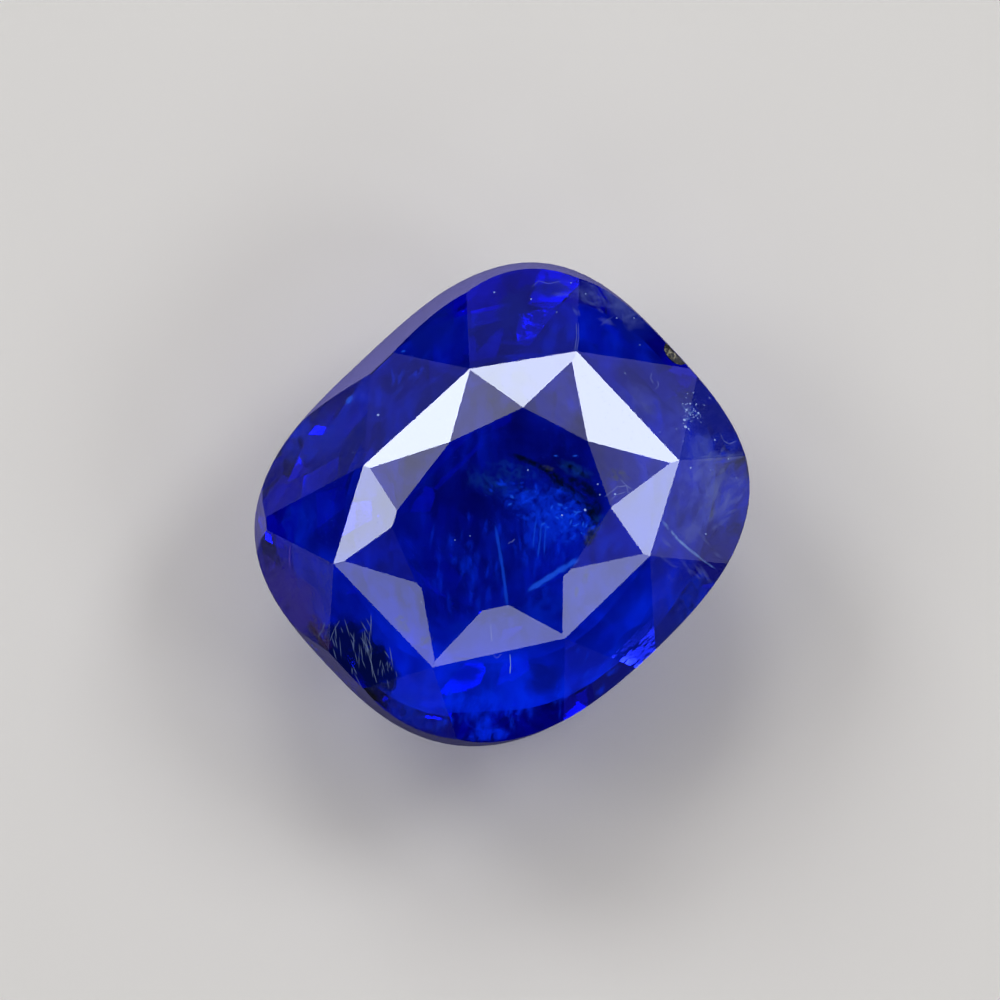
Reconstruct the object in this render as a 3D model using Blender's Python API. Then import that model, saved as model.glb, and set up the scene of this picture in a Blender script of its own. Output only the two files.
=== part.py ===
"""A loose blue sapphire: a hand-cut cushion that rests on its flat culet with its table up.

The stone is made the way it was cut. A rounded preform gets one flat facet after another, each a plane
that takes away all that lies outside it, and at the end a flake is knocked out of the girdle.
+X runs along the stone's length, +Z out of the table, and the origin is under the middle of its box.
The shape is worked out in millimetres and made metres at the end.
"""

from math import atan2, copysign, cos, radians, sin

import bmesh
import bpy
from mathutils import Matrix, Vector
from mathutils.geometry import normal as normal_of

MM = 0.001

# Outline of the girdle: an ellipse with squared corners, a little different in each quarter.
LENGTH = 8.92
WIDTH = 7.8
SQUARENESS = {(1, 1): 3.08, (-1, 1): 3.01, (-1, -1): 2.59, (1, -1): 2.96}
OUTLINE_POINTS = 120

# Heights above the culet.
TABLE_HEIGHT = 5.3
CORNER_HEIGHT = 4.88
GIRDLE_TOP = 3.92
GIRDLE_DIP = 0.36
WIDEST_HEIGHT = 3.15
GIRDLE_FOOT = 2.98

# Above the widest line the side leans inwards, most on the +Y side. Both are shares of the rise.
GIRDLE_LEAN = Vector((0.13, -0.17))
GIRDLE_TAPER = 0.044

# The crown's corners, each at an angle from +X in degrees and a reach from the axis. Two kite
# facets meet there above and a break facet hangs below, as far as two angles on the girdle. The
# star facet above comes to its point a little inside the corner.
CROWN_CORNERS = (
    {"angle": 61.5, "reach": 2.79, "star_reach": 2.77, "girdle": (83.6, 61.9)},
    {"angle": 23.4, "reach": 3.31, "star_reach": 3.08, "girdle": (20.1, -5.4)},
    {"angle": -26.6, "reach": 3.41, "star_reach": 3.21, "girdle": (-7.7, -24.3)},
    {"angle": -60.2, "reach": 2.84, "star_reach": 2.70, "girdle": (-40.5, -87.1)},
    {"angle": -108.3, "reach": 2.64, "star_reach": 2.52, "girdle": (-95.7, -119.7)},
    {"angle": -158.5, "reach": 3.26, "star_reach": 3.08, "girdle": (-151.8, -172.0)},
    {"angle": 153.7, "reach": 3.42, "star_reach": 3.21, "girdle": (174.5, 141.6)},
    {"angle": 119.1, "reach": 2.85, "star_reach": 2.71, "girdle": (139.0, 93.0)},
)

# The table's corners, one between each crown corner and the next, as angle and reach. Where the
# table cuts a kite short, it has a short edge there, from the first point to the last.
TABLE_CORNERS = (
    ((38.7, 2.00),),
    ((-1.4, 2.02),),
    ((-40.4, 1.95),),
    ((-79.0, 1.59), (-88.0, 1.64)),
    ((-133.1, 1.76), (-147.8, 1.92)),
    ((179.8, 2.14), (176.7, 2.20)),
    ((144.6, 2.20), (136.7, 2.11)),
    ((86.5, 1.72),),
)

# The pavilion, down its profile: the height of each edge between two rows, and the share of the
# outline's reach that is left there. The last edge is the culet's.
PAVILION_PROFILE = ((GIRDLE_FOOT, 1.0), (2.2, 0.90), (1.1, 0.64), (0.0, 0.28))
PAVILION_SIDES = (2.0, 31.0, 61.0, 91.0, 118.0, 147.0, 179.0, -149.0, -119.0, -88.0, -61.0, -32.0)

# The flake missing from the girdle at the +X end: its length, depth and height, and its middle.
CHIP_SIZE = (0.56, 0.23, 0.40)
CHIP_ANGLE = 0.5
CHIP_HEIGHT = 3.68
CHIP_OUTSIDE = 0.01

# Meeting planes leave edges shorter than this, which are closed up.
CLOSE_GAP = 0.006

STONE_COLOUR = (0.012, 0.03, 0.30, 1.0)
STONE_IOR = 1.77


def clear_scene():
    for item in list(bpy.data.objects):
        bpy.data.objects.remove(item, do_unlink=True)


def outline_reach(angle):
    """Distance from the axis to the widest line, at an angle in radians."""
    along, across = cos(angle), sin(angle)
    power = SQUARENESS[(int(copysign(1, along)), int(copysign(1, across)))]
    total = abs(along / (LENGTH / 2)) ** power + abs(across / (WIDTH / 2)) ** power
    return total ** (-1 / power)


def side_point(angle, height):
    """A point on the preform's side, which is upright up to the widest line."""
    rise = max(0.0, height - WIDEST_HEIGHT)
    reach = outline_reach(angle) * (1 - GIRDLE_TAPER * rise)
    lean = GIRDLE_LEAN * rise
    return Vector((reach * cos(angle) + lean.x, reach * sin(angle) + lean.y, height))


def girdle_point(degrees):
    """A point on the crown's lower edge, which dips where the outline reaches furthest."""
    angle = radians(degrees)
    overreach = outline_reach(angle) - WIDTH / 2
    return side_point(angle, GIRDLE_TOP - GIRDLE_DIP * overreach)


def crown_point(degrees, reach, height):
    angle = radians(degrees)
    return Vector((reach * cos(angle), reach * sin(angle), height))


def corner_point(corner):
    return crown_point(corner["angle"], corner["reach"], CORNER_HEIGHT)


def raise_rim(shape, rim, height):
    """Extrudes the open rim to a height, with its points on the preform's side."""
    raised = bmesh.ops.extrude_edge_only(shape, edges=rim)["geom"]
    for vert in (item for item in raised if isinstance(item, bmesh.types.BMVert)):
        vert.co = side_point(atan2(vert.co.y, vert.co.x), height)
    return [item for item in raised if isinstance(item, bmesh.types.BMEdge) and item.is_boundary]


def make_preform():
    """A closed slab with the stone's outline, upright below its widest line and leaning above."""
    shape = bmesh.new()
    bmesh.ops.create_circle(shape, segments=OUTLINE_POINTS, radius=1.0)
    for vert in shape.verts:
        vert.co = side_point(atan2(vert.co.y, vert.co.x), 0.0)
    rim = raise_rim(shape, shape.edges[:], WIDEST_HEIGHT)
    raise_rim(shape, rim, TABLE_HEIGHT)
    bmesh.ops.holes_fill(shape, edges=shape.edges, sides=0)
    bmesh.ops.recalc_face_normals(shape, faces=shape.faces)
    return shape


def cut(shape, point, outward):
    """Takes away what lies outside a plane and closes the cut with one flat facet."""
    everything = shape.verts[:] + shape.edges[:] + shape.faces[:]
    result = bmesh.ops.bisect_plane(
        shape, geom=everything, dist=CLOSE_GAP / 4, plane_co=point, plane_no=outward, clear_outer=True
    )
    rim = [item for item in result["geom_cut"] if isinstance(item, bmesh.types.BMEdge)]
    if rim:
        bmesh.ops.contextual_create(shape, geom=rim)


def plane_through(first, second, third):
    """A plane as a point and the normal that points out of the crown."""
    outward = normal_of(first, second, third)
    if outward.z < 0:
        outward.negate()
    return first, outward


def height_on(plane, place):
    """Height of a plane above a place."""
    point, outward = plane
    level = (point.x - place.x) * outward.x + (point.y - place.y) * outward.y
    return point.z + level / outward.z


def halfway(first, second):
    """The angle in the middle of the stretch that runs clockwise from the first to the second."""
    return first - ((first - second) % 360) / 2


def kite_planes():
    """One for each crown corner and the next: through both and the table's corner between them."""
    planes = []
    for index, table_corner in enumerate(TABLE_CORNERS):
        here = corner_point(CROWN_CORNERS[index])
        after = corner_point(CROWN_CORNERS[(index + 1) % len(CROWN_CORNERS)])
        ends = [crown_point(angle, reach, TABLE_HEIGHT) for angle, reach in table_corner]
        planes.append(plane_through(here, after, (ends[0] + ends[-1]) / 2))
    return planes


def star_planes(kites):
    """One above each crown corner: through a table edge and the star's point."""
    planes = []
    for index, corner in enumerate(CROWN_CORNERS):
        start = crown_point(*TABLE_CORNERS[index - 1][-1], TABLE_HEIGHT)
        end = crown_point(*TABLE_CORNERS[index][0], TABLE_HEIGHT)
        tip = crown_point(corner["angle"], corner["star_reach"], 0.0)
        tip.z = min(height_on(kites[index - 1], tip), height_on(kites[index], tip))
        planes.append(plane_through(start, end, tip))
    return planes


def girdle_row_planes():
    """The crown's outer row: a break under each corner and a main between two corners."""
    planes = []
    for index, corner in enumerate(CROWN_CORNERS):
        following = CROWN_CORNERS[(index + 1) % len(CROWN_CORNERS)]
        here, after = corner_point(corner), corner_point(following)
        start, end = corner["girdle"]
        planes.append(plane_through(here, girdle_point(start), girdle_point(end)))
        between = halfway(end, following["girdle"][0])
        planes.append(plane_through(here, after, girdle_point(between)))
    return planes


def cut_crown(shape):
    kites = kite_planes()
    for point, outward in kites + star_planes(kites) + girdle_row_planes():
        cut(shape, point, outward)


def cut_pavilion(shape):
    """Rows of steps that follow the outline, each row flatter than the one above it."""
    outline = [side_point(radians(degrees), 0.0) for degrees in range(360)]
    for (top, top_share), (bottom, bottom_share) in zip(PAVILION_PROFILE, PAVILION_PROFILE[1:]):
        for side in PAVILION_SIDES:
            sideways = Vector((cos(radians(side)), sin(radians(side)), 0.0))
            reach = max(point.dot(sideways) for point in outline)
            start = sideways * reach * top_share + Vector((0.0, 0.0, top))
            run = reach * (top_share - bottom_share)
            outward = sideways * (top - bottom) - Vector((0.0, 0.0, run))
            cut(shape, start, outward.normalized())


def make_material():
    material = bpy.data.materials.new("Blue sapphire")
    material.use_nodes = True
    settings = material.node_tree.nodes["Principled BSDF"].inputs
    settings["Base Color"].default_value = STONE_COLOUR
    settings["Metallic"].default_value = 0.0
    settings["Roughness"].default_value = 0.02
    settings["IOR"].default_value = STONE_IOR
    settings["Transmission Weight"].default_value = 0.6
    material.diffuse_color = STONE_COLOUR
    return material


def make_object(name, shape):
    """Turns the shape into an object in metres."""
    bmesh.ops.scale(shape, vec=Vector((MM, MM, MM)), verts=shape.verts)
    mesh = bpy.data.meshes.new(name)
    shape.to_mesh(mesh)
    shape.free()
    made = bpy.data.objects.new(name, mesh)
    bpy.context.scene.collection.objects.link(made)
    return made


def make_stone():
    shape = make_preform()
    cut_crown(shape)
    cut_pavilion(shape)
    bmesh.ops.remove_doubles(shape, verts=shape.verts, dist=CLOSE_GAP)
    bmesh.ops.dissolve_degenerate(shape, edges=shape.edges, dist=CLOSE_GAP)
    stone = make_object("sapphire", shape)
    stone.data.materials.append(make_material())
    return stone


def make_chip_cutter():
    """A flattened ball with few faces, which leaves the shell-like hollow of a chip."""
    shape = bmesh.new()
    bmesh.ops.create_icosphere(shape, subdivisions=2, radius=0.5)
    length, depth, height = CHIP_SIZE
    bmesh.ops.scale(shape, vec=Vector((2 * depth, length, height)), verts=shape.verts)
    middle = side_point(radians(CHIP_ANGLE), CHIP_HEIGHT)
    middle += middle.normalized() * CHIP_OUTSIDE
    turn = Matrix.Rotation(radians(CHIP_ANGLE), 4, "Z")
    bmesh.ops.transform(shape, matrix=Matrix.Translation(middle) @ turn, verts=shape.verts)
    cutter = make_object("chip_cutter", shape)
    cutter.hide_render = True
    cutter.display_type = "WIRE"
    return cutter


def knock_out_chip(stone, cutter):
    chip = stone.modifiers.new("Chip", "BOOLEAN")
    chip.operation = "DIFFERENCE"
    chip.solver = "EXACT"
    chip.object = cutter


def main():
    clear_scene()
    stone = make_stone()
    knock_out_chip(stone, make_chip_cutter())


main()
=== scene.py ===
# %% [markdown]
# # A loose blue sapphire, table up
#
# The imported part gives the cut: one closed solid with its flat facets, lying on its culet with the
# table up. This lesson gives that cut its looks. The facets get crisp, very slightly rounded edges and
# a hand polish, the girdle its frosted grind, the crystal its deep blue, and inside it are sealed the
# fractures, needles, flecks and veils that a natural stone has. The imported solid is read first, because
# every length below is a place in it.

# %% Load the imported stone
import random
from math import atan2, cos, degrees, pi, radians, sin, sqrt, tan

import bmesh
import bpy
from mathutils import Matrix, Vector, noise


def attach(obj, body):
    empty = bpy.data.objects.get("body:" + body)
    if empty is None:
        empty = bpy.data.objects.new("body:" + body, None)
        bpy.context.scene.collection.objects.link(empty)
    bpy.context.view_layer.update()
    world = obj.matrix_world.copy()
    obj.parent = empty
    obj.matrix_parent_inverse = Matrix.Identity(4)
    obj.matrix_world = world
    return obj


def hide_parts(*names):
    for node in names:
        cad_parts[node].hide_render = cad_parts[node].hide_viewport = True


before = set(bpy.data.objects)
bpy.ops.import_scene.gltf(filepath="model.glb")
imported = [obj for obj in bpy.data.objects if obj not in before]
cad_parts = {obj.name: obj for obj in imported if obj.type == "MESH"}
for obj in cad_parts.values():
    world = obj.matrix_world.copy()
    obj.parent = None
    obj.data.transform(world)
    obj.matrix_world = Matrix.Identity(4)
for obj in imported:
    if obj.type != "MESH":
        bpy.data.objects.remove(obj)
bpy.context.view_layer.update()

MM = 0.001

# %% [markdown]
# ## The camera
#
# The stone is seen from almost straight above, from a hand's width away, with its long axis running
# from lower left to upper right. A camera's turn can be typed in as three angles, but a view that leans
# by only three degrees is easier to state as a direction to look back along and a direction that is up
# in the picture, so its matrix is built from those two. The lens follows from the scale wanted at the
# crown: so many pixels to the millimetre at that distance.

# %% Place the camera
PICTURE_WIDTH = 1000
PIXELS_PER_MM = 52.6
CAMERA_DISTANCE = 250 * MM
SENSOR_WIDTH = 36
CAMERA_LEAN = radians(3)
LEAN_TOWARDS = radians(112)
PICTURE_UP = radians(47)
PICTURE_RIGHT = PICTURE_UP - pi / 2
AIM = Vector((0.085, 0.181, 3.5)) * MM


def direction(off_vertical, azimuth):
    """A unit vector at an angle from straight up and an angle from the stone's long axis."""
    level = sin(off_vertical)
    return Vector((level * cos(azimuth), level * sin(azimuth), cos(off_vertical)))


def place_camera():
    lens = bpy.data.cameras.new("camera")
    camera = bpy.data.objects.new("camera", lens)
    bpy.context.scene.collection.objects.link(camera)
    back = direction(CAMERA_LEAN, LEAN_TOWARDS)
    right = direction(pi / 2, PICTURE_UP).cross(back).normalized()
    place = Matrix((right, back.cross(right), back)).transposed().to_4x4()
    place.translation = AIM + back * CAMERA_DISTANCE
    camera.matrix_world = place
    lens.sensor_width = SENSOR_WIDTH
    lens.lens = SENSOR_WIDTH * PIXELS_PER_MM * CAMERA_DISTANCE / MM / PICTURE_WIDTH
    lens.clip_start = 0.01
    lens.clip_end = 10
    bpy.context.scene.camera = camera
    return back


to_camera = place_camera()
print("Camera lens in mm:", round(bpy.context.scene.camera.data.lens, 1))

# %% [markdown]
# ## Writing a finish as a formula
#
# A finish in Blender is a web of nodes, which is quick to draw by hand and slow to type. Here a small
# class wraps one output socket, so that a sum or product of two wraps adds the Math node for it, and
# one method adds any other node from its type, its settings and its inputs. A finish then reads as the
# few formulas that it is.


# %% Wrap a socket so that it can be calculated with
class Flow:
    """A value that runs through a node tree. Arithmetic on it adds Math nodes."""

    def __init__(self, tree, socket=None):
        self.tree = tree
        self.socket = socket

    def node(self, kind, settings=None, inputs=None, output=0):
        """Adds a node: its settings first, then its inputs by name or number, each a value or a Flow."""
        made = self.tree.nodes.new(kind)
        for name, value in (settings or {}).items():
            setattr(made, name, value)
        for name, value in (inputs or {}).items():
            if isinstance(value, Flow):
                self.tree.links.new(value.socket, made.inputs[name])
            else:
                made.inputs[name].default_value = value
        return Flow(self.tree, made.outputs[output] if made.outputs else None)

    def maths(self, operation, first, second=0.0):
        settings = {"operation": operation}
        return self.node("ShaderNodeMath", settings, {0: first, 1: second})

    def __add__(self, other):
        return self.maths("ADD", self, other)

    def __sub__(self, other):
        return self.maths("SUBTRACT", self, other)

    def __rsub__(self, other):
        return self.maths("SUBTRACT", other, self)

    def __mul__(self, other):
        return self.maths("MULTIPLY", self, other)

    __radd__ = __add__
    __rmul__ = __mul__

    def between(self, low, high):
        """0 at low, 1 at high and smooth in between; low may be the larger."""
        settings = {"interpolation_type": "SMOOTHSTEP"}
        return self.node("ShaderNodeMapRange", settings, {"Value": self, 1: low, 2: high})


# %% Blend colours, start a finish and find places
def blended(mask, first, second):
    """The first colour where the mask is 0 and the second where it is 1."""
    return mask.node("ShaderNodeMix", {"data_type": "RGBA"}, {0: mask, 6: first, 7: second}, output=2)


def new_finish(name):
    """An empty material and a Flow to start its formulas from."""
    material = bpy.data.materials.new(name)
    material.use_nodes = True
    material.node_tree.nodes.clear()
    return material, Flow(material.node_tree)


def in_mm(start):
    """Places in the stone in millimetres, turned so that x runs across the picture and y up it."""
    place = start.node("ShaderNodeTexCoord", output=3)
    turn = (0.0, 0.0, pi / 2 - PICTURE_UP)
    return start.node("ShaderNodeMapping", {}, {"Vector": place, "Rotation": turn, "Scale": (1 / MM,) * 3})


def stretched(place, stretch):
    """The same places with each axis stretched by a share."""
    return place.node("ShaderNodeVectorMath", {"operation": "MULTIPLY"}, {0: place, 1: stretch})


def near(place, middle, reach, edge=0.5):
    """1 at a middle, falling to 0 at a reach; the edge is the share of the reach that it fades over."""
    inputs = {0: place, 1: middle}
    distance = place.node("ShaderNodeVectorMath", {"operation": "DISTANCE"}, inputs, output=1)
    return distance.between(reach, reach * (1 - edge))


def cloud(place, fineness, detail=3.0, roughness=0.55, distortion=0.0):
    """Noise from 0 to 1, with so many blobs to the millimetre."""
    inputs = {"Vector": place, "Scale": fineness, "Detail": detail}
    inputs.update({"Roughness": roughness, "Distortion": distortion})
    return place.node("ShaderNodeTexNoise", {}, inputs)


# %% [markdown]
# ## The cut stone
#
# Each facet of a real stone is one flat, and two facets meet in an edge that the lap leaves a few
# hundredths of a millimetre wide. That narrow round catches the lamps, and a mesh without it looks like
# a drawing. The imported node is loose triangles, so a copy of it is merged, its facets are made whole,
# and its long edges get a fine bevel. A bevel modifier would round every edge alike, so the operator is
# used, which takes the list of edges that deserve it. The edges round the chip stay raw.

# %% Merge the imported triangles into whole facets
MERGE_WITHIN = 0.001 * MM
FLAT_WITHIN = radians(0.35)
CHIP_MIDDLE = Vector((4.411, -0.05, 3.68)) * MM
CHIP_HALF = Vector((0.23, 0.28, 0.20)) * MM
CHIP_MARGIN = 1.06


def merged_copy(node):
    shape = bmesh.new()
    shape.from_mesh(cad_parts[node].data)
    bmesh.ops.remove_doubles(shape, verts=shape.verts, dist=MERGE_WITHIN)
    bmesh.ops.dissolve_limit(shape, angle_limit=FLAT_WITHIN, verts=shape.verts, edges=shape.edges)
    return shape


def on_chip(point):
    """Whether a point lies on the hollow of the chip or at its rim."""
    offset = point - CHIP_MIDDLE
    shares = (offset.x / CHIP_HALF.x, offset.y / CHIP_HALF.y, offset.z / CHIP_HALF.z)
    return Vector(shares).length < CHIP_MARGIN


shape = merged_copy("sapphire")
print("Whole facets:", len(shape.faces), "edges:", len(shape.edges))

# %% Round the edges between facets
EDGE_ROUNDING = 0.011 * MM
SHORTEST_ROUNDED = 0.09 * MM
SHARPER_THAN = radians(3.5)
GROUND_UNDERCUT = -0.25
GROUND_SLOPE = 0.42


def is_ground(face):
    """Whether a face is part of the girdle's upright band, or of the chip in it."""
    return GROUND_UNDERCUT < face.normal.z < GROUND_SLOPE


def deserves_rounding(edge):
    if not edge.is_manifold or edge.calc_length() < SHORTEST_ROUNDED:
        return False
    if any(on_chip(vert.co) for vert in edge.verts):
        return False
    if all(is_ground(face) for face in edge.link_faces):
        return False
    return edge.calc_face_angle() > SHARPER_THAN


def round_edges(shape):
    edges = [edge for edge in shape.edges if deserves_rounding(edge)]
    bmesh.ops.bevel(
        shape,
        geom=edges,
        affect="EDGES",
        offset=EDGE_ROUNDING,
        offset_type="OFFSET",
        segments=2,
        profile=0.5,
        material=-1,
        clamp_overlap=True,
    )
    return len(edges)


print("Rounded edges:", round_edges(shape))
print("Faces now:", len(shape.faces))
open_edges = [edge for edge in shape.edges if not edge.is_manifold]
print("Open edges:", len(open_edges))

# %% Mark the ground girdle and the chip on the mesh
ground_layer = shape.faces.layers.float.new("ground")
chip_layer = shape.faces.layers.float.new("chip")
for face in shape.faces:
    in_chip = all(on_chip(vert.co) for vert in face.verts)
    face[chip_layer] = float(in_chip)
    face[ground_layer] = float(is_ground(face) and not in_chip)
    face.smooth = is_ground(face) and not in_chip
for edge in shape.edges:
    edge.smooth = all(face.smooth for face in edge.link_faces)


def finish_piece(name, shape, material):
    """Turns a shape into an object that rides with the stone."""
    mesh = bpy.data.meshes.new(name)
    shape.to_mesh(mesh)
    shape.free()
    mesh.materials.append(material)
    piece = bpy.data.objects.new(name, mesh)
    bpy.context.scene.collection.objects.link(piece)
    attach(piece, "root")
    return piece


# %% [markdown]
# ## Blue crystal
#
# Sapphire is clear. Its blue comes only from depth: red and green light is lost on the way through, so
# a thin corner looks pale and a long path looks navy. A tinted surface would be the same blue wherever
# it is looked at, so the surface is left colourless with sapphire's refraction, and the colour is a
# Volume Absorption inside. The girdle was never polished. There the same material turns, by a Mix
# Shader whose factor is a mask on the mesh, into a frosted lavender grey, and in the chip into a dark,
# broken brown. A second material on those faces would have to repeat the volume, because a ray takes
# its volume from the face that it enters by.

# %% Mix the crystal
POLISHED = (1.0, 1.0, 1.0, 1.0)
FROSTED = (0.15, 0.13, 0.36, 1.0)
CHIP_DARK = (0.012, 0.010, 0.012, 1.0)
CHIP_PALE = (0.30, 0.26, 0.16, 1.0)
SAPPHIRE_IOR = 1.77
BODY_BLUE = (0.02, 0.16, 0.93, 1.0)
BODY_DEPTH = 620.0
GROUND_COVER = 0.92


def crystal():
    material, start = new_finish("blue_crystal")
    place = in_mm(start)
    ground = start.node("ShaderNodeAttribute", {"attribute_name": "ground"}, output=2)
    chip = start.node("ShaderNodeAttribute", {"attribute_name": "chip"}, output=2)
    waves = cloud(place, 2.2, detail=2.0)
    polish = start.node("ShaderNodeBump", {}, {"Strength": 0.06, "Distance": 0.02 * MM, "Height": waves})
    inputs = {"Base Color": POLISHED, "Roughness": 0.0, "IOR": SAPPHIRE_IOR}
    inputs.update({"Transmission Weight": 1.0, "Normal": polish})
    clear = start.node("ShaderNodeBsdfPrincipled", {}, inputs)
    grain = cloud(place, 24.0, detail=4.0, roughness=0.7)
    broken = cloud(place, 9.0, detail=4.0, distortion=1.2)
    chip_colour = blended(broken.between(0.50, 0.68), CHIP_DARK, CHIP_PALE)
    colour = blended(chip, FROSTED, chip_colour)
    tooth = start.node("ShaderNodeBump", {}, {"Strength": 0.5, "Distance": 0.03 * MM, "Height": grain})
    inputs = {"Base Color": colour, "Roughness": 0.55, "IOR": 1.5, "Normal": tooth}
    frosted = start.node("ShaderNodeBsdfPrincipled", {}, inputs)
    mask = ground * GROUND_COVER + chip
    surface = start.node("ShaderNodeMixShader", {}, {0: mask, 1: clear, 2: frosted})
    depth = start.node("ShaderNodeVolumeAbsorption", {}, {"Color": BODY_BLUE, "Density": BODY_DEPTH})
    start.node("ShaderNodeOutputMaterial", {}, {"Surface": surface, "Volume": depth})
    return material


stone = finish_piece("sapphire_cut", shape, crystal())
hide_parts("sapphire")
print("Stone:", len(stone.data.polygons), "faces")

# %% [markdown]
# ## Silk in the crystal, and its painted glow
#
# A hand-cut sapphire is seldom clean. Fine needles and healed cracks, called silk, scatter a little blue
# light from everywhere inside it, so that even its dark facets are a soft, mottled blue. A volume that
# scatters would be the true way. It was not tried here, because each ray would scatter many times between
# the facets, which promises long renders and noise. Two closed shells of see-through silk, one inside the
# other, stand for it. Their blue is a painted glow, a light of their own in place of the light that real
# silk would pass on. The painted glow is stronger near the girdle, at the right and low in the picture,
# and turns to a grey haze at the right end.

# %% Grow nested shells of silk
SILK_MIDDLE = Vector((0.02, 0.0, 3.32)) * MM
SILK_REACH = Vector((4.12, 3.56, 1.5)) * MM
# Colours of the painted glow, from its dim to its bright end, and of its grey haze.
SILK_GLOW_DIM = (0.0, 0.0012, 0.088, 1.0)
SILK_GLOW_BRIGHT = (0.0, 0.028, 0.85, 1.0)
SILK_HAZE_GLOW = (0.05, 0.08, 0.50, 1.0)
SILK_BASE = (0.005, 0.008, 0.05, 1.0)
# Regions where the painted glow is made stronger, and the calm middle where it is weaker.
LOW_REGION = ((-0.4, -3.6, 3.6), 2.5, 0.8)
SUNK_REGION = ((1.6, -2.0, 3.9), 2.8, 0.8)
RIGHT_REGION = ((2.5, 0.3, 4.3), 1.7, 0.8)
LIT_REGION = ((0.9, -0.6, 4.6), 1.5, 0.8)
HAZY_REGION = ((3.9, 0.7, 3.6), 2.0, 0.7)
CALM_MIDDLE = ((0.0, 0.0, 0.0), 3.0, 0.45)


def silk(name, fineness, cover):
    """See-through silk with a painted blue glow. A region is its middle and its reach in millimetres, and
    the share that fades.
    """
    material, start = new_finish(name)
    place = in_mm(start)
    mottled = cloud(place, 0.8 * fineness, detail=2.0, distortion=0.7).between(0.36, 0.66)
    strokes = cloud(stretched(place, (2.6, 0.5, 1.0)), 1.3 * fineness, detail=2.0).between(0.38, 0.68)
    flat = stretched(place, (1.0, 1.0, 0.0))
    ring = 1 - near(flat, *CALM_MIDDLE)
    lower = near(place, *LOW_REGION)
    sunk = near(place, *SUNK_REGION)
    right = near(place, *RIGHT_REGION)
    lit = near(place, *LIT_REGION) * (0.3 + 0.7 * strokes)
    up = place.node("ShaderNodeSeparateXYZ", {}, {0: place}, output=1)
    below = up.between(0.8, -3.4) * (0.4 + 0.6 * mottled)
    amount = 0.6 * mottled * (0.35 + 0.65 * strokes) + 0.3 * lower + 0.2 * lit
    amount = amount + ring * (0.12 + 0.34 * below) + 0.17 * sunk + 0.2 * right
    colour = blended(amount, SILK_GLOW_DIM, SILK_GLOW_BRIGHT)
    wisps = cloud(place, 2.6 * fineness, detail=3.0, distortion=1.4).between(0.40, 0.66)
    hazy = near(place, *HAZY_REGION) * (0.15 + 0.85 * wisps)
    colour = blended(hazy, colour, SILK_HAZE_GLOW)
    thick = cover * (0.5 + 0.4 * amount + 0.3 * hazy + 0.5 * ring)
    # The emission is the painted glow.
    inputs = {"Base Color": SILK_BASE, "Roughness": 0.8, "Alpha": thick}
    inputs.update({"Emission Color": colour, "Emission Strength": 1.0, "Specular IOR Level": 0.0})
    glow = start.node("ShaderNodeBsdfPrincipled", {}, inputs)
    start.node("ShaderNodeOutputMaterial", {}, {"Surface": glow})
    return material


# %% Place the shells
SWELL = 0.05
SHELLS = (
    ("silk_glow_outer", 0.95, 1.0, 0.42),
    ("silk_glow_inner", 0.66, 1.6, 0.5),
)


def silk_shell(name, share, fineness, cover):
    """A ball stretched to a share of the stone's reach, with slow swells that break its outline."""
    shape = bmesh.new()
    bmesh.ops.create_icosphere(shape, subdivisions=4, radius=1.0)
    for vert in shape.verts:
        swell = 1 + SWELL * noise.noise(vert.co * 2.1 + Vector((share * 9, 0, 0)))
        vert.co = vert.co * swell
    bmesh.ops.scale(shape, vec=SILK_REACH * share, verts=shape.verts)
    bmesh.ops.translate(shape, vec=SILK_MIDDLE, verts=shape.verts)
    for face in shape.faces:
        face.smooth = True
    return finish_piece(name, shape, silk(name, fineness, cover))


for name, share, fineness, cover in SHELLS:
    shell = silk_shell(name, share, fineness, cover)
    print(name, "has", len(shell.data.polygons), "faces")

# %% [markdown]
# ## Inclusions, each under its own facet
#
# What one sees in a stone is bent at the facet that one looks through, so a needle modelled where the
# picture shows it would appear somewhere else. It has to be put where the bent ray goes. For every
# inclusion below, a ray is sent from the camera, bent into the crystal at the facet that it hits, and
# followed to a depth. So each one is sealed inside the crystal, at a true depth, and is seen in its right
# place through its facet. Places are given as millimetres across and up the picture from the axis.

# %% Follow a ray through its facet
CROWN_LEVEL = 3.5 * MM


def seen(across, up, depth):
    """The place at a depth in millimetres behind the facet that the camera sees there, or None."""
    camera = bpy.context.scene.camera.matrix_world
    middle = Vector((0.0, 0.0, CROWN_LEVEL))
    right = direction(pi / 2, PICTURE_RIGHT)
    target = middle + (right * across + direction(pi / 2, PICTURE_UP) * up) * MM
    ray = (target - camera.translation).normalized()
    hit, place, normal, _ = stone.ray_cast(camera.translation, ray)
    if not hit:
        return None
    share = 1 / SAPPHIRE_IOR
    facing = -ray.dot(normal)
    bent = ray * share + normal * (share * facing - sqrt(1 - share**2 * (1 - facing**2)))
    return place + bent.normalized() * depth * MM


# %% Make grains, threads and flakes
THREAD_OVERLAP = 1.35
FLAKE_OVERLAP = 1.7
FLAKE_THICKNESS = 0.03
RAGGEDNESS = 0.6
LONG_FLAKE = 0.8
SHORT_FLAKE = 0.3


def add_grain(shape, middle, size, along, fineness=1):
    """Adds a closed ball squashed to a size in millimetres, with its length along a direction."""
    made = bmesh.ops.create_icosphere(shape, subdivisions=fineness, radius=0.5)["verts"]
    bmesh.ops.scale(shape, vec=Vector(size) * MM, verts=made)
    turn = along.to_track_quat("X", "Z").to_matrix().to_4x4()
    bmesh.ops.transform(shape, matrix=Matrix.Translation(middle) @ turn, verts=made)


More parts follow.
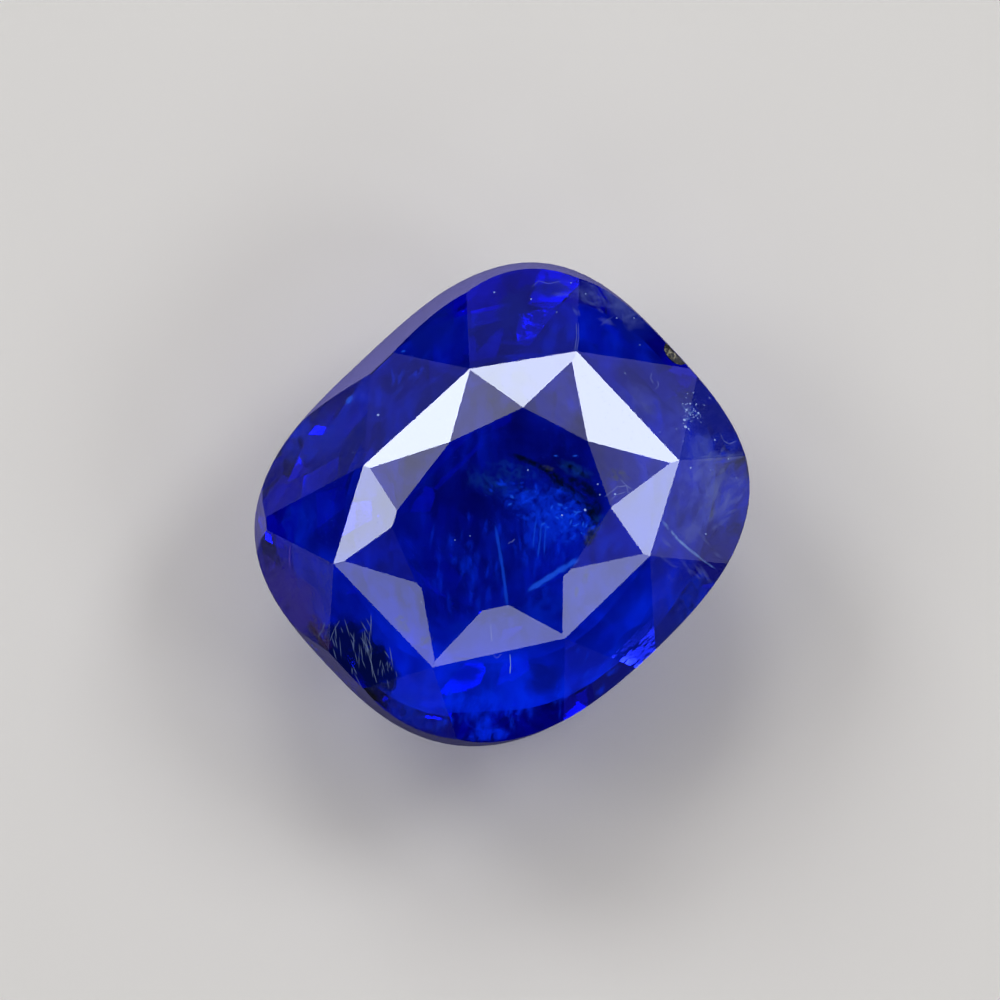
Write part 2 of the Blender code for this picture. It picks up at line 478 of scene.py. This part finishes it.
def add_thread(shape, points, width, depth):
    """Adds a thread of overlapping grains that runs through points and thins at its ends."""
    places = [seen(across, up, depth) for across, up in points]
    for index, (start, end) in enumerate(zip(places, places[1:])):
        run = end - start
        middleness = sin(pi * (index + 0.7) / (len(places) + 0.4))
        thickness = width * (0.45 + 0.55 * middleness)
        size = (run.length / MM * THREAD_OVERLAP, thickness, 0.5 * thickness)
        add_grain(shape, (start + end) / 2, size, run)


def add_patch(shape, patch, depth):
    """Adds a thin flake: across, up, length, width and heading in degrees, as the picture shows.

    Each point follows its own ray, so the flake lies along its facet and stays sealed in the stone; one
    whose middle misses the stone is left out. The soft layer falls from 1 in the middle to 0 at the rim,
    for a finish that fades out.
    """
    across, up, length, width, heading = patch
    if seen(across, up, depth) is None:
        return
    soft = shape.verts.layers.float.get("soft") or shape.verts.layers.float.new("soft")
    fineness = 2 + (length > SHORT_FLAKE) + (length > LONG_FLAKE)
    made = bmesh.ops.create_icosphere(shape, subdivisions=fineness, radius=0.5)["verts"]
    turn = Matrix.Rotation(radians(heading), 3, "Z")
    middle = Vector((across, up, 0.0))
    for vert in made:
        vert[soft] = max(0.0, 1 - 4 * (vert.co.x**2 + vert.co.y**2))
        ragged = 1 + RAGGEDNESS * noise.noise(vert.co * 4 + middle * 3)
        offset = turn @ Vector((vert.co.x * length * ragged, vert.co.y * width * ragged, 0.0))
        deeper = depth + vert.co.z * FLAKE_THICKNESS
        place = seen(across + offset.x, up + offset.y, deeper)
        while place is None:
            offset *= 0.9
            place = seen(across + offset.x, up + offset.y, deeper)
        vert.co = place


def trail(width, *points):
    """Flakes that overlap along a path, for a needle or a crack that bends."""
    flakes = []
    for (x, y), (next_x, next_y) in zip(points, points[1:]):
        run = Vector((next_x - x, next_y - y))
        heading = degrees(atan2(run.y, run.x))
        flakes.append((x + run.x / 2, y + run.y / 2, FLAKE_OVERLAP * run.length, width, heading))
    return flakes


def scatter(seed, number, middle, reach, tilt, lengths, widths, headings):
    """Flakes strewn over an oval, denser in its middle; lengths, widths and headings are ranges."""
    chance = random.Random(seed)
    turn = Matrix.Rotation(radians(tilt), 2)
    flakes = []
    for _ in range(number):
        angle = chance.uniform(0, 2 * pi)
        share = chance.random() ** 0.7
        offset = turn @ Vector((reach[0] * share * cos(angle), reach[1] * share * sin(angle)))
        sizes = (chance.uniform(*lengths), chance.uniform(*widths), chance.uniform(*headings))
        flakes.append((middle[0] + offset.x, middle[1] + offset.y, *sizes))
    return flakes


# %% [markdown]
# ## Needles, cracks and flecks
#
# Rutile needles and partly healed cracks shine pale blue, fresh cracks are black with greenish flecks,
# and pin-point crystals glint white. They are modelled as closed slivers, flakes and grains, sorted by
# how they look, so each sort is one piece with one finish. Like the silk, they pass light on rather
# than only block it, and the finish gives them a little light of their own in its place. A flake's
# finish fades out towards its rim, because a real crack has no outline where it heals.

# %% Mix the finishes of the inclusions
DULL = 0.05


def inclusion(name, light, cover, edge=1.0, fineness=None, gaps=(0.34, 0.64), stretch=(1, 1, 1)):
    """A see-through finish with light of its own; cover is how much it hides.

    An edge is the share of the soft layer over which a flake fades out, and 0 leaves the layer unread.
    Where a fineness is given, noise breaks the finish up.
    """
    material, start = new_finish(name)
    # Every inclusion's emission is painted light: a glow in place of the lamp light that it would pass on.
    dull = (*(DULL * part for part in light), 1.0)
    inputs = {"Base Color": dull, "Roughness": 0.7, "Emission Color": (*light, 1.0)}
    inputs.update({"Emission Strength": 1.0, "Alpha": cover, "Specular IOR Level": 0.0})
    if edge:
        soft = start.node("ShaderNodeAttribute", {"attribute_name": "soft"}, output=2)
        inputs["Alpha"] = cover * soft.between(0.0, edge)
    if fineness:
        place = stretched(in_mm(start), stretch)
        inputs["Alpha"] = inputs["Alpha"] * cloud(place, fineness, distortion=1.0).between(*gaps)
    body = start.node("ShaderNodeBsdfPrincipled", {}, inputs)
    start.node("ShaderNodeOutputMaterial", {}, {"Surface": body})
    return material


# %% Draw the fine needles and scratches
THREADS = (
    ("violet", 0.03, ((-4.05, -0.67), (-4.07, -0.86), (-4.06, -1.06))),
    ("faint", 0.016, ((1.39, 3.54), (1.4, 3.29), (1.4, 3.02))),
    ("faint", 0.018, ((2.83, 2.6), (2.8, 2.51), (2.86, 2.41))),
    ("faint", 0.018, ((2.89, 2.3), (2.96, 2.36), (2.94, 2.45))),
    ("faint", 0.018, ((-0.24, -2.17), (-0.23, -2.32), (-0.22, -2.49))),
    ("pale", 0.022, ((0.13, -2.76), (0.14, -2.93), (0.13, -3.1))),
    ("faint", 0.018, ((-0.19, -2.74), (-0.14, -2.81), (-0.06, -2.79), (-0.05, -2.72))),
    ("faint", 0.02, ((0.09, -0.63), (0.15, -0.61), (0.22, -0.56))),
    ("faint", 0.018, ((0.53, 4.26), (0.7, 4.35), (0.87, 4.3), (1.08, 4.35))),
    ("faint", 0.02, ((1.95, 0.25), (2.05, 0.36), (2.2, 0.44), (2.35, 0.46), (2.45, 0.39))),
    ("faint", 0.016, ((2.05, 0.19), (2.16, 0.29), (2.33, 0.34))),
    ("faint", 0.02, ((2.24, 0.57), (2.35, 0.46), (2.39, 0.29))),
    ("faint", 0.022, ((4.14, 1.44), (4.2, 1.31), (4.31, 1.25), (4.43, 1.31))),
    ("faint", 0.014, ((3.21, -0.42), (3.32, -0.55), (3.48, -0.7), (3.65, -0.86))),
    (
        "scratch",
        0.02,
        ((-2.55, -2.32), (-2.54, -2.51), (-2.51, -2.7), (-2.52, -2.85), (-2.48, -3.04), (-2.41, -3.27)),
    ),
    ("scratch", 0.016, ((-2.61, -2.47), (-2.57, -2.7), (-2.51, -2.93), (-2.48, -3.16))),
    ("scratch", 0.014, ((-3.12, -2.11), (-3.22, -2.28), (-3.29, -2.47))),
    ("scratch", 0.016, ((-3.52, -2.41), (-3.44, -2.28), (-3.39, -2.13))),
)
THREAD_FINISHES = {
    "pale": inclusion("pale_needle", (0.20, 0.32, 0.60), 0.6, edge=0),
    "faint": inclusion("faint_needle", (0.13, 0.17, 0.45), 0.4, edge=0),
    "scratch": inclusion("scratch", (0.12, 0.16, 0.28), 0.5, edge=0),
    "violet": inclusion("violet_needle", (0.07, 0.035, 0.38), 0.6, edge=0),
}
THREAD_DEPTH = {"scratch": 0.03}
USUAL_THREAD_DEPTH = 0.14
for kind, finish in THREAD_FINISHES.items():
    shape = bmesh.new()
    for thread_kind, width, points in THREADS:
        if thread_kind == kind:
            add_thread(shape, points, width, THREAD_DEPTH.get(kind, USUAL_THREAD_DEPTH))
    piece = finish_piece(f"needles_{kind}", shape, finish)
    print(piece.name, "has", len(piece.data.polygons), "faces")

# %% [markdown]
# ## Pin-point crystals
#
# Tiny crystals caught in the sapphire glint as white points; the glint is painted, a light of their own in
# the finish. Most are placed one by one, each as across, up and size in millimetres. The smallest in the
# cluster at the right are too many for that, so a seeded random draw strews them, thickest in the middle,
# and gives the same cluster each time.

# %% Sprinkle the pin-point crystals
PINPOINTS = (
    (3.45, 1.71, 0.05),
    (3.47, 1.58, 0.055),
    (3.53, 1.54, 0.036),
    (3.49, 1.9, 0.042),
    (3.56, 2.02, 0.034),
    (3.72, 1.84, 0.04),
    (3.67, 2.0, 0.026),
    (3.42, 2.02, 0.024),
    (3.3, 1.54, 0.022),
    (3.48, 2.78, 0.08),
    (-0.17, 4.14, 0.03),
    (0.53, 4.01, 0.03),
    (-2.38, 1.81, 0.045),
    (3.93, 2.13, 0.024),
    (3.57, 0.8, 0.034),
    (4.03, 1.33, 0.034),
    (4.29, 0.97, 0.026),
    (3.86, -0.46, 0.028),
    (2.32, 2.6, 0.022),
    (2.49, 3.65, 0.024),
    (2.16, 3.65, 0.026),
    (0.47, 0.76, 0.026),
    (1.56, 0.0, 0.042),
    (1.12, -0.1, 0.03),
    (1.8, 0.49, 0.026),
    (1.84, 0.29, 0.024),
    (2.13, 0.3, 0.034),
    (-1.56, -1.75, 0.02),
    (-0.63, -0.49, 0.018),
    (-0.92, -0.57, 0.018),
    (1.02, 3.76, 0.02),
    (1.29, 4.32, 0.026),
    (1.57, 4.11, 0.024),
    (2.6, 3.14, 0.02),
    (2.98, 1.48, 0.018),
    (-2.86, 1.1, 0.018),
    (3.95, 0.76, 0.02),
    (4.44, 0.61, 0.02),
)
CLUSTER = (3.55, 1.84)
CLUSTER_REACH = (0.2, 0.34)
CLUSTER_SPECKS = 34
SPECK_SIZES = (0.012, 0.026)
PINPOINT_DEPTH = 0.09


def sprinkle():
    shape = bmesh.new()
    chance = random.Random(5)
    specks = list(PINPOINTS)
    for _ in range(CLUSTER_SPECKS):
        across = chance.gauss(CLUSTER[0], CLUSTER_REACH[0] / 2)
        up = chance.gauss(CLUSTER[1], CLUSTER_REACH[1] / 2)
        specks.append((across, up, chance.uniform(*SPECK_SIZES)))
    for across, up, size in specks:
        middle = seen(across, up, PINPOINT_DEPTH)
        turn = direction(pi / 2, across * 7)
        add_grain(shape, middle, (size * 1.2, size, 0.7 * size), turn, fineness=2)
    # Painted glint: the finish gives off a white-blue light of its own.
    finish = inclusion("glint", (0.30, 0.42, 0.80), 0.75, edge=0)
    return finish_piece("pinpoint_crystals", shape, finish), len(specks)


print("Pin-point crystals:", sprinkle()[1])

# %% [markdown]
# ## Flakes under the table and the lower facets
#
# Under the table lies a healed crack, a cloud of blue flecks with a dark, greenish break along its upper
# right side. Below it stand faint upright strokes, soft needles and one bright streak. A texture on one
# sheet could show all that, but from the side it would be one sheet. Separate flakes, with a depth for
# each sort, move against each other as the stone turns. Each list holds flakes as across, up, length and
# width in millimetres and heading in degrees. What follows a path is a trail, and what has only a
# density and a direction is a scatter.

# %% List the needles, flecks and strokes
UPRIGHT = (78, 98)
ANY_WAY = (-90, 90)
SOFT_NEEDLES = (
    *trail(0.08, (-0.14, -0.38), (-0.08, -0.7), (-0.02, -1.05), (0.03, -1.43), (0.07, -1.79)),
    *trail(0.05, (0.72, -0.3), (0.7, -0.57), (0.66, -0.87)),
    *trail(0.04, (0.81, -0.34), (0.79, -0.59), (0.78, -0.8)),
    *trail(0.04, (0.62, -0.23), (0.59, -0.46), (0.57, -0.68)),
)
BRIGHT_STREAKS = (
    *trail(0.13, (0.53, -1.5), (0.76, -1.35), (1.0, -1.19), (1.25, -1.05), (1.4, -0.95)),
    (0.17, 0.25, 0.12, 0.07, -40),
    (0.13, 0.11, 0.1, 0.05, 20),
    (1.37, -0.04, 0.1, 0.05, -30),
    (1.52, -0.27, 0.12, 0.05, 80),
    (1.08, 0.1, 0.14, 0.06, -20),
    (1.29, -0.23, 0.14, 0.05, 70),
    (-2.93, 2.09, 0.26, 0.13, 55),
    (-1.9, 3.02, 0.1, 0.05, 20),
    (1.0, 1.03, 0.1, 0.04, 0),
    (1.37, 1.03, 0.12, 0.04, 10),
    *scatter(3, 12, (1.08, -0.13), (0.6, 0.3), -25, (0.06, 0.14), (0.025, 0.05), ANY_WAY),
)
BLUE_FLECKS = (
    *scatter(11, 60, (1.0, -0.08), (0.8, 0.44), -28, (0.12, 0.36), (0.05, 0.13), ANY_WAY),
    *scatter(12, 12, (0.13, 0.38), (0.5, 0.26), -10, (0.1, 0.3), (0.05, 0.1), (-50, 30)),
)
STROKES = (
    *scatter(21, 34, (-0.67, -0.99), (0.85, 0.95), 0, (0.2, 0.55), (0.07, 0.18), UPRIGHT),
    *scatter(22, 22, (0.7, -0.86), (0.55, 0.7), 0, (0.2, 0.55), (0.06, 0.14), UPRIGHT),
    *scatter(23, 34, (-0.06, -3.73), (1.3, 0.5), 8, (0.2, 0.6), (0.06, 0.16), (65, 105)),
    *scatter(24, 16, (1.84, -3.0), (0.8, 0.5), 20, (0.2, 0.5), (0.06, 0.14), (30, 70)),
    *scatter(25, 12, (-1.62, 2.62), (0.6, 0.4), 40, (0.2, 0.5), (0.06, 0.12), (40, 110)),
)
SCRATCHES = (
    *scatter(31, 34, (-2.72, -2.66), (0.62, 0.62), 0, (0.12, 0.45), (0.012, 0.024), (88, 125)),
    *scatter(32, 12, (-2.29, -3.0), (0.3, 0.4), 0, (0.1, 0.3), (0.012, 0.02), (75, 110)),
)
CRACKLE_CLOUDS = (
    (0.93, -0.04, 1.7, 1.05, -28),
    (1.31, -0.23, 0.9, 0.8, 60),
    (0.7, -0.38, 0.9, 0.7, 70),
    (0.24, 0.23, 0.8, 0.5, -15),
)
TEAL_HAZE = (
    (-0.12, 0.49, 1.3, 0.55, -12),
    (0.22, 0.76, 1.1, 0.35, -12),
    (1.8, -0.27, 0.5, 0.35, 60),
    (1.37, 0.76, 0.8, 0.3, -25),
)

# %% [markdown]
# ## Glows, shades and stains
#
# Some facets show brighter blue from deep in the stone, some a dark patch, a violet or brown tint, or a
# grey veil of the finest silk. They are broad soft flakes behind those facets, lit or dark: the brighter
# blue is a painted glow and the dark patches are painted shade. A tint on the facet itself would be
# easier, but it would not shift behind the facet's edge as the stone turns.

# %% List the glows, cracks, stains and veils
# Painted shade: dark blue flakes that dim the facets in front of them.
DEEP_SHADE_FLAKES = (
    (2.79, -2.47, 1.6, 1.0, 50),
    (0.17, 3.8, 1.0, 0.6, 60),
    (4.06, 1.81, 1.1, 0.9, 80),
    (3.74, 2.24, 0.7, 0.6, 60),
    (-1.35, 3.42, 1.3, 0.8, 40),
    (0.89, 4.22, 0.8, 0.4, 0),
    (2.45, 3.61, 1.2, 0.8, -45),
    (0.79, -3.23, 0.7, 0.8, 80),
    (1.95, -3.61, 1.0, 0.6, 45),
)
# Painted glow: flakes that give off blue light behind facets that show brighter blue.
BODY_GLOWS = (
    (-0.12, -2.4, 2.0, 1.0, 8),
    (0.79, -1.84, 0.9, 0.8, 60),
    (1.69, -1.52, 1.7, 0.9, 45),
    (2.03, -0.67, 0.8, 0.5, 40),
    (2.79, 0.0, 1.7, 0.8, 75),
    (-1.96, -1.84, 1.7, 0.9, -48),
    (3.55, -1.79, 1.4, 0.8, 60),
    (-1.73, -3.84, 1.3, 0.6, -30),
    (-3.77, 1.39, 1.5, 1.0, 50),
    (4.37, 0.19, 1.7, 0.9, 80),
    (4.16, 1.22, 0.9, 0.6, 30),
    (-3.88, -0.19, 1.0, 0.7, 80),
)
# Painted glow: brighter blue low in the picture.
BROAD_GLOWS = (
    (-0.38, -3.84, 0.9, 0.9, 80),
    (0.34, -3.67, 0.9, 0.7, 75),
    (1.08, -3.42, 0.6, 0.45, 60),
    (-0.92, -3.61, 0.6, 0.45, 95),
    (-0.25, -4.28, 1.0, 0.3, 5),
)
DARK_CRACKS = (
    *trail(0.14, (0.24, 1.03), (0.53, 0.91), (0.79, 0.78), (1.02, 0.61)),
    *trail(
        0.26,
        (0.93, 0.65),
        (1.16, 0.46),
        (1.38, 0.27),
        (1.59, 0.08),
        (1.73, -0.15),
        (1.71, -0.42),
        (1.61, -0.61),
    ),
    *trail(0.12, (1.08, 0.91), (1.35, 0.8), (1.61, 0.61)),
    (1.76, 0.0, 0.5, 0.3, 80),
    (1.65, 0.38, 0.5, 0.25, -40),
    (1.37, 0.53, 0.4, 0.2, -30),
)
# Painted shade: faint dark flakes that dim the facets in front of them.
DIM_SHADE_FLAKES = (
    (1.19, 0.8, 1.3, 0.6, -25),
    (1.8, 0.19, 0.7, 0.9, 10),
    (0.41, 3.99, 1.0, 0.6, 20),
    (0.32, 1.24, 1.5, 0.8, 0),
)
OLIVE_STAINS = (
    (-1.92, -2.17, 0.5, 0.3, -48),
    (-1.51, -2.49, 0.4, 0.2, 20),
    (2.18, 0.65, 0.55, 0.28, -8),
    (1.65, -0.49, 0.5, 0.22, 58),
    (1.56, -1.24, 0.4, 0.16, 78),
    (1.4, -1.56, 0.3, 0.12, 80),
    (0.85, 0.8, 0.3, 0.12, -20),
)
BROWN_STAINS = (
    (-3.54, -2.22, 0.6, 0.35, -60),
    (-3.39, -2.51, 0.4, 0.25, -50),
)
PALE_VEILS = (
    (4.16, 0.61, 1.3, 1.0, 75),
    (3.74, 1.18, 0.7, 0.5, 40),
    (4.03, 0.1, 1.0, 0.6, 60),
    (3.55, -0.44, 0.6, 0.4, 50),
    (2.6, 2.09, 0.9, 0.6, -40),
    (1.65, 4.18, 1.6, 0.6, -15),
    (2.41, 3.71, 0.9, 0.5, -45),
    (2.07, 3.99, 0.8, 0.5, -30),
    *scatter(41, 30, (4.08, 0.42), (0.5, 0.9), 0, (0.2, 0.6), (0.05, 0.14), (20, 80)),
    *scatter(42, 16, (1.84, 3.95), (0.9, 0.4), -20, (0.2, 0.5), (0.05, 0.12), (-60, 40)),
    *scatter(43, 10, (3.55, -0.95), (0.7, 0.5), 0, (0.2, 0.5), (0.05, 0.1), (-60, -20)),
)
FEATHER = (
    *trail(0.08, (3.06, -0.25), (3.19, -0.4), (3.34, -0.57), (3.53, -0.74), (3.72, -0.89)),
    *trail(0.045, (3.21, -0.42), (3.34, -0.57), (3.51, -0.73)),
    *trail(0.035, (3.68, -0.86), (3.84, -0.99), (4.01, -1.1)),
    *scatter(44, 9, (3.55, 1.84), (0.2, 0.3), 0, (0.08, 0.2), (0.04, 0.08), ANY_WAY),
)
# Painted shade: near-black flakes that darken the facets at the lower left.
PAINTED_SHADE_FLAKES = (
    (-2.78, -2.7, 1.5, 1.1, -50),
    (-2.42, -3.0, 1.1, 0.8, -45),
)
VIOLET_STAINS = (
    (-4.05, -1.71, 1.8, 1.0, -65),
)

# %% Lay the flakes, each sort at its own depth
def lay_flakes(name, patches, depth, finish):
    shape = bmesh.new()
    for patch in patches:
        add_patch(shape, patch, depth)
    piece = finish_piece(name, shape, finish)
    print(name, "has", len(patches), "flakes and", len(piece.data.polygons), "faces")


FINISHES = {
    "needle": inclusion("blue_needle", (0.005, 0.055, 0.60), 0.42),
    "bright": inclusion("bright_streak", (0.012, 0.10, 0.80), 0.42),
    "fleck": inclusion("blue_fleck", (0.002, 0.040, 0.72), 0.36, 1.0, 9.0, (0.36, 0.62)),
    "stroke": inclusion("stroke", (0.0, 0.025, 0.62), 0.20, 1.0, 5.0, (0.32, 0.62), (2.0, 0.7, 1)),
    "scratched": inclusion("fine_scratch", (0.12, 0.17, 0.32), 0.4),
    "crackle": inclusion("crackle", (0.001, 0.026, 0.58), 0.46, 1.0, 6.0, (0.34, 0.62)),
    "teal": inclusion("teal_haze", (0.004, 0.034, 0.24), 0.34, 1.0, 6.0, (0.38, 0.66)),
    # The glow and body finishes are painted glows.
    "glow": inclusion("blue_glow", (0.0, 0.024, 0.80), 0.55, 1.0, 2.4, (0.30, 0.62), (1.8, 0.7, 1)),
    "body": inclusion("body_glow", (0.0, 0.018, 0.48), 0.40, 0.8, 2.0, (0.26, 0.66), (1.6, 0.8, 1)),
    # Painted shade, near black.
    "shade": inclusion("painted_shade_flake", (0.0, 0.002, 0.045), 0.75, 0.6, 2.4, (0.20, 0.50)),
    # Painted shade, dark blue.
    "deep": inclusion("deep_shade_flake", (0.001, 0.006, 0.20), 0.60, 0.8, 1.6, (0.15, 0.45)),
    # Painted shade, faint.
    "dim": inclusion("dim_shade_flake", (0.0, 0.001, 0.10), 0.35),
    "violet": inclusion("violet_stain", (0.016, 0.007, 0.19), 0.65, 0.7, 2.5, (0.20, 0.50)),
    "crack": inclusion("dark_crack", (0.0, 0.002, 0.008), 0.70, 1.0, 7.0, (0.30, 0.56)),
    "olive": inclusion("olive_stain", (0.035, 0.045, 0.05), 0.36, 1.0, 8.0),
    "brown": inclusion("brown_stain", (0.018, 0.005, 0.028), 0.50, 1.0, 4.0, (0.25, 0.55)),
    "veil": inclusion("veil", (0.085, 0.115, 0.36), 0.20, 1.0, 2.4, (0.28, 0.68)),
    "feather": inclusion("feather", (0.13, 0.24, 0.58), 0.34, 1.0, 9.0, (0.30, 0.60)),
}
SORTS = (
    ("body_glows", BODY_GLOWS, 0.42, "body"),
    ("broad_glow_flakes", BROAD_GLOWS, 0.34, "glow"),
    ("long_strokes", STROKES, 0.38, "stroke"),
    ("crackle_cloud", CRACKLE_CLOUDS, 0.28, "crackle"),
    ("teal_haze", TEAL_HAZE, 0.25, "teal"),
    ("deep_shade_flakes", DEEP_SHADE_FLAKES, 0.24, "deep"),
    ("dim_shade_flakes", DIM_SHADE_FLAKES, 0.34, "dim"),
    ("pale_veils", PALE_VEILS, 0.18, "veil"),
    ("painted_shade_flakes", PAINTED_SHADE_FLAKES, 0.16, "shade"),
    ("violet_stains", VIOLET_STAINS, 0.22, "violet"),
    ("dark_cracks", DARK_CRACKS, 0.31, "crack"),
    ("blue_flecks", BLUE_FLECKS, 0.21, "fleck"),
    ("soft_needles", SOFT_NEEDLES, 0.17, "needle"),
    ("bright_streaks", BRIGHT_STREAKS, 0.15, "bright"),
    ("olive_stains", OLIVE_STAINS, 0.13, "olive"),
    ("brown_stains", BROWN_STAINS, 0.13, "brown"),
    ("feather", FEATHER, 0.11, "feather"),
    ("fine_scratches", SCRATCHES, 0.05, "scratched"),
)
for name, patches, depth, finish in SORTS:
    lay_flakes(name, patches, depth, FINISHES[finish])

# %% [markdown]
# ## The studio
#
# A stone's facets are small mirrors, and what a photographer does is to choose what each one mirrors.
# One big soft light would turn the whole crown white. Here each of the eight kites has its own round
# soft box, hung where that facet mirrors it to the camera, bright for those that are bright in the
# picture and dim for the others, while the air above the table stays dark so that one sees in. The
# mirror direction comes from the facet's own normal.

# %% Hang a soft box for each kite
SOFT_BOX_DISTANCE = 0.4
SOFT_BOX_HALF_ANGLE = radians(9)
SOFT_BOX_COLOUR = (0.80, 0.88, 1.0)
UPWARDS = Vector((0.0, 0.0, 1.0))
KITE_LIGHTS = (
    ((2.019, 1.756), 6.8),
    ((2.765, -0.076), 8.2),
    ((2.022, -1.786), 4.9),
    ((0.144, -1.972), 2.0),
    ((-1.740, -1.583), 1.7),
    ((-2.697, 0.161), 1.45),
    ((-1.991, 1.776), 3.7),
    ((-0.324, 2.262), 9.3),
)


def facet_normal(x, y):
    """The normal of the crown facet over a place in the plan, in millimetres."""
    start = Vector((x * MM, y * MM, 10 * MM))
    hit, _, normal, _ = stone.ray_cast(start, -UPWARDS)
    if not hit:
        raise ValueError("no facet there")
    return normal


def hang_soft_box(name, towards, radiance):
    """Hangs a round light that faces the stone; the radiance is that of its red part."""
    radius = SOFT_BOX_DISTANCE * tan(SOFT_BOX_HALF_ANGLE)
    light = bpy.data.lights.new(name, "AREA")
    light.shape = "DISK"
    light.size = 2 * radius
    light.color = SOFT_BOX_COLOUR
    area = pi * radius**2
    light.energy = radiance / SOFT_BOX_COLOUR[0] * pi * area
    box = bpy.data.objects.new(name, light)
    bpy.context.scene.collection.objects.link(box)
    box.location = towards * SOFT_BOX_DISTANCE
    box.rotation_euler = (-towards).to_track_quat("-Z", "Y").to_euler()
    box.visible_camera = False


for index, (middle, radiance) in enumerate(KITE_LIGHTS):
    normal = facet_normal(*middle)
    towards = (2 * normal.dot(to_camera) * normal - to_camera).normalized()
    hang_soft_box(f"soft_box_{index}", towards, radiance)
    print("Soft box", index, "at", round(degrees(towards.angle(UPWARDS))), "degrees off vertical")

# %% [markdown]
# ## The air round the stone
#
# The star facets and the outer row mirror what is round the stone, which has to be pale behind it, to
# light it low down at its right, and to be dark nearly everywhere else. A few soft patches on a dark
# world do that. Each is a window in height, the cosine of the angle from straight up, times one in
# azimuth, so the stone's own shape decides which facet shows it. Lamps for them would be seen as lamps,
# with hard rims. The camera sees an even pale background instead, which a Light Path node sorts out.

# %% Light the air round the stone
AIR_COLOUR = (0.93, 0.96, 1.0, 1.0)
BACKGROUND = 0.6
DOME = 1.6
GLOW = 0.42
CORNER = 0.38
RIM = 0.2
SPILL = 0.2
DARK_AIR = 0.006


def light_air():
    world = bpy.data.worlds.new("studio")
    world.use_nodes = True
    world.node_tree.nodes.clear()
    bpy.context.scene.world = world
    start = Flow(world.node_tree)
    looking = start.node("ShaderNodeTexCoord")

    def along(axis):
        inputs = {0: looking, 1: axis}
        return start.node("ShaderNodeVectorMath", {"operation": "DOT_PRODUCT"}, inputs, output=1)

    def facing(turn):
        """How far a ray points to an azimuth, in degrees anticlockwise from the picture's right."""
        return along(direction(pi / 2, PICTURE_RIGHT + radians(turn)))

    height = along(UPWARDS)

    def band(bottom, lower, upper, top):
        """1 from the lower to the upper height, and 0 below the bottom and above the top."""
        return height.between(bottom, lower) * height.between(top, upper)

    dome = band(0.35, 0.60, 0.80, 0.90) * facing(100).between(-0.22, 0.18)
    glow = height.between(0.30, 0.15) * facing(-17).between(0.70, 0.95)
    corner = band(0.05, 0.10, 0.20, 0.30) * facing(40).between(0.85, 0.97)
    rim = band(0.15, 0.21, 0.33, 0.45) * facing(131).between(0.6, 0.95)
    spill = band(0.66, 0.70, 0.76, 0.80) * facing(-32).between(0.64, 0.67)
    strength = DOME * dome + GLOW * glow + CORNER * corner + RIM * rim + SPILL * spill + DARK_AIR
    straight = start.node("ShaderNodeLightPath")
    strength = straight * BACKGROUND + (1 - straight) * strength
    air = start.node("ShaderNodeBackground", {}, {"Color": AIR_COLOUR, "Strength": strength})
    start.node("ShaderNodeOutputWorld", {}, {"Surface": air})


light_air()

# %% [markdown]
# ## The floor
#
# The stone lies on a plain pale board. The steepest facets mirror the board too, and a pale one would turn
# them grey, while the real ones mirror dark surroundings. So mirrored and bent rays see the board with
# painted shade on it and one painted pool of light at the left, and only the camera sees the pale one.

# %% Lay the floor
FLOOR_SIZE = 6.0
FLOOR_DROP = 0.01 * MM
FLOOR_PALE = (0.66, 0.60, 0.53, 1.0)
# Painted shade and a painted pool of light, which only mirrored and bent rays see.
FLOOR_MIRRORED = (0.02, 0.019, 0.017, 1.0)
FLOOR_LIT = (0.12, 0.11, 0.10, 1.0)
LIT_PLACE = ((-15.0, -4.0, 0.0), 26.0, 0.6)


def lay_floor():
    material, start = new_finish("pale_floor")
    straight = start.node("ShaderNodeLightPath")
    lit = near(in_mm(start), *LIT_PLACE)
    colour = blended(straight, blended(lit, FLOOR_MIRRORED, FLOOR_LIT), FLOOR_PALE)
    board = start.node("ShaderNodeBsdfPrincipled", {}, {"Base Color": colour, "Roughness": 0.9})
    start.node("ShaderNodeOutputMaterial", {}, {"Surface": board})
    shape = bmesh.new()
    bmesh.ops.create_grid(shape, x_segments=1, y_segments=1, size=FLOOR_SIZE / 2)
    bmesh.ops.translate(shape, vec=(0.0, 0.0, -FLOOR_DROP), verts=shape.verts)
    mesh = bpy.data.meshes.new("floor")
    shape.to_mesh(mesh)
    shape.free()
    mesh.materials.append(material)
    floor = bpy.data.objects.new("floor", mesh)
    bpy.context.scene.collection.objects.link(floor)


lay_floor()

# %% [markdown]
# ## Rays through many facets
#
# Light in a cut stone is thrown from facet to facet before it leaves, so mirrored and bent rays get ten
# bounces, and more would cost time. Each shell and flake on the way also counts as a see-through
# surface, and a ray that passes Blender's usual eight of these ends in black, so far more are let
# through. The denoiser is given the picture alone, because with the colours and normals to guide it, it
# drew specks on the facets.

# %% Let light pass many facets
BOUNCES = 10
scene = bpy.context.scene
scene.cycles.max_bounces = BOUNCES
scene.cycles.transmission_bounces = BOUNCES
scene.cycles.glossy_bounces = BOUNCES
scene.cycles.diffuse_bounces = 4
scene.cycles.transparent_max_bounces = 32
scene.cycles.use_light_tree = False
scene.cycles.sample_clamp_indirect = 12.0
scene.cycles.use_denoising = True
scene.cycles.denoising_input_passes = "RGB"
scene.cycles.adaptive_threshold = 0.03
scene.view_settings.view_transform = "Standard"
print("Bounces:", BOUNCES, "and through flakes:", scene.cycles.transparent_max_bounces)
